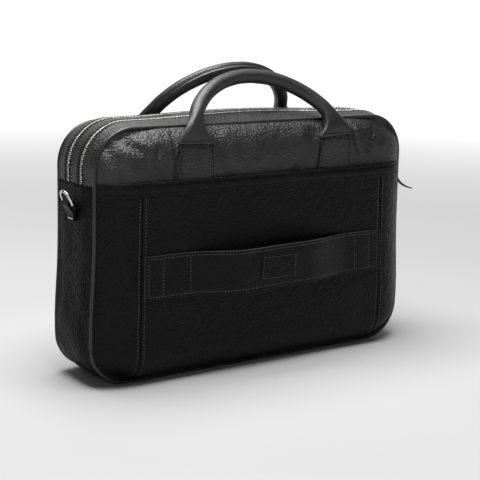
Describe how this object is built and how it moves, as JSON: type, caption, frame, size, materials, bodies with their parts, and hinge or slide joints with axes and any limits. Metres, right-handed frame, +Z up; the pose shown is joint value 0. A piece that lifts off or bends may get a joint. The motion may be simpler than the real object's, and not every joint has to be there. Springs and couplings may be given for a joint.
{
  "type": "leather briefcase",
  "caption": "Soft rectangular leather briefcase with two rolled handles, zipped top compartments, a slip pocket and a trolley strap.",
  "frame": {"origin": "middle of the base on the surface that the bag stands on", "axes": "+X along the width, to the right when facing the trolley strap; -Y is the trolley-strap side; +Z up"},
  "size_m": [0.4667, 0.1491, 0.3331],
  "materials": {
    "black_leather": "pebbled semi-gloss full-grain leather",
    "handle_leather": "smooth rolled leather, satin",
    "piping_leather": "thin skived leather over cord",
    "zip_metal": "polished nickel-plated teeth",
    "nickel": "polished nickel plate, lightly scuffed",
    "zip_tape": "woven black tape",
    "lining_cloth": "plain woven dark grey lining",
    "padding": "cloth-covered foam",
    "board": "matt stiffener board",
    "cord_core": "twisted cotton cord"
  },
  "bodies": {
    "case": {"lower_gusset": "black_leather", "centre_gusset": "black_leather", "divider": "padding", "base_board": "board", "laptop_sleeve_pad": "padding", "back_inner_wall": "lining_cloth", "front_inner_wall": "lining_cloth", "back_lining": "lining_cloth", "front_lining": "lining_cloth", "back_pocket_centre": "black_leather", "back_pocket_side_left": "black_leather", "back_pocket_side_right": "black_leather", "back_pocket_binding": "black_leather", "front_pocket_panel": "black_leather", "front_pocket_sides": "black_leather", "front_pocket_tapes": "zip_tape", "front_pocket_teeth": "zip_metal", "trolley_strap": "black_leather", "strap_patch": "black_leather", "back_piping_lower": "piping_leather", "front_piping_lower": "piping_leather", "back_zip_inner_tape": "zip_tape", "front_zip_inner_tape": "zip_tape", "back_zip_inner_teeth": "zip_metal", "front_zip_inner_teeth": "zip_metal", "zip_outer_tape_ends": "zip_tape", "zip_outer_teeth_ends": "zip_metal", "d_ring_loops": "black_leather", "loop_end_clips": "nickel"},
    "back_flap": {"back_yoke": "black_leather", "back_yoke_lining": "lining_cloth", "back_gusset_strip": "black_leather", "back_piping_upper": "piping_leather", "back_zip_outer_tape": "zip_tape", "back_zip_outer_teeth": "zip_metal", "back_handle_tab_left": "handle_leather", "back_handle_tab_right": "handle_leather"},
    "back_handle": {"back_handle_wrap": "handle_leather", "back_handle_core": "cord_core"},
    "back_slider": {"back_zip_slider": "nickel"},
    "back_pull": {"back_zip_link": "nickel", "back_zip_puller": "black_leather"},
    "front_flap": {"front_yoke": "black_leather", "front_yoke_lining": "lining_cloth", "front_gusset_strip": "black_leather", "front_piping_upper": "piping_leather", "front_zip_outer_tape": "zip_tape", "front_zip_outer_teeth": "zip_metal", "front_handle_tab_left": "handle_leather", "front_handle_tab_right": "handle_leather"},
    "front_handle": {"front_handle_wrap": "handle_leather", "front_handle_core": "cord_core"},
    "front_slider": {"front_zip_slider": "nickel"},
    "front_pull": {"front_zip_link": "nickel", "front_zip_puller": "black_leather"},
    "pocket_slider": {"pocket_zip_slider": "nickel"},
    "pocket_pull": {"pocket_zip_link": "nickel", "pocket_zip_puller": "black_leather"},
    "left_d_ring": {"d_ring_left": "nickel"},
    "right_d_ring": {"d_ring_right": "nickel"}
  },
  "joints": [
    {"name": "back_flap_fold", "type": "hinge", "parent": "case", "child": "back_flap", "pos_m": [0, -0.062, 0.21685], "axis": [1, 0, 0], "range_deg": [0, 30]},
    {"name": "front_flap_fold", "type": "hinge", "parent": "case", "child": "front_flap", "pos_m": [0, 0.052, 0.21685], "axis": [-1, 0, 0], "range_deg": [0, 30]},
    {"name": "back_handle_swing", "type": "hinge", "parent": "back_flap", "child": "back_handle", "pos_m": [0, -0.0569, 0.254], "axis": [1, 0, 0], "range_deg": [0, 150]},
    {"name": "front_handle_swing", "type": "hinge", "parent": "front_flap", "child": "front_handle", "pos_m": [0, 0.0512, 0.254], "axis": [-1, 0, 0], "range_deg": [0, 150]},
    {"name": "back_slider_run", "type": "hinge", "parent": "case", "child": "back_slider", "pos_m": [0.157, -0.014, 0.226], "axis": [0, -1, 0], "range_deg": [0, 86]},
    {"name": "front_slider_run", "type": "hinge", "parent": "case", "child": "front_slider", "pos_m": [0.157, 0.014, 0.226], "axis": [0, -1, 0], "range_deg": [0, 86]},
    {"name": "back_pull_swing", "type": "hinge", "parent": "back_slider", "child": "back_pull", "pos_m": [0.2096, -0.014, 0.2235], "axis": [0, -1, 0], "range_deg": [-25, 125]},
    {"name": "front_pull_swing", "type": "hinge", "parent": "front_slider", "child": "front_pull", "pos_m": [0.2096, 0.014, 0.2235], "axis": [0, -1, 0], "range_deg": [-25, 125]},
    {"name": "pocket_slider_run", "type": "slide", "parent": "case", "child": "pocket_slider", "axis": [-1, 0, 0], "range_m": [0, 0.268]},
    {"name": "pocket_pull_swing", "type": "hinge", "parent": "pocket_slider", "child": "pocket_pull", "pos_m": [0.134, 0.0531, 0.2077], "axis": [1, 0, 0], "range_deg": [0, 150]},
    {"name": "left_d_ring_swing", "type": "hinge", "parent": "case", "child": "left_d_ring", "pos_m": [-0.2135, 0, 0.191], "axis": [0, -1, 0], "range_deg": [-15, 150]},
    {"name": "right_d_ring_swing", "type": "hinge", "parent": "case", "child": "right_d_ring", "pos_m": [0.2135, 0, 0.191], "axis": [0, 1, 0], "range_deg": [-15, 100]}
  ]
}
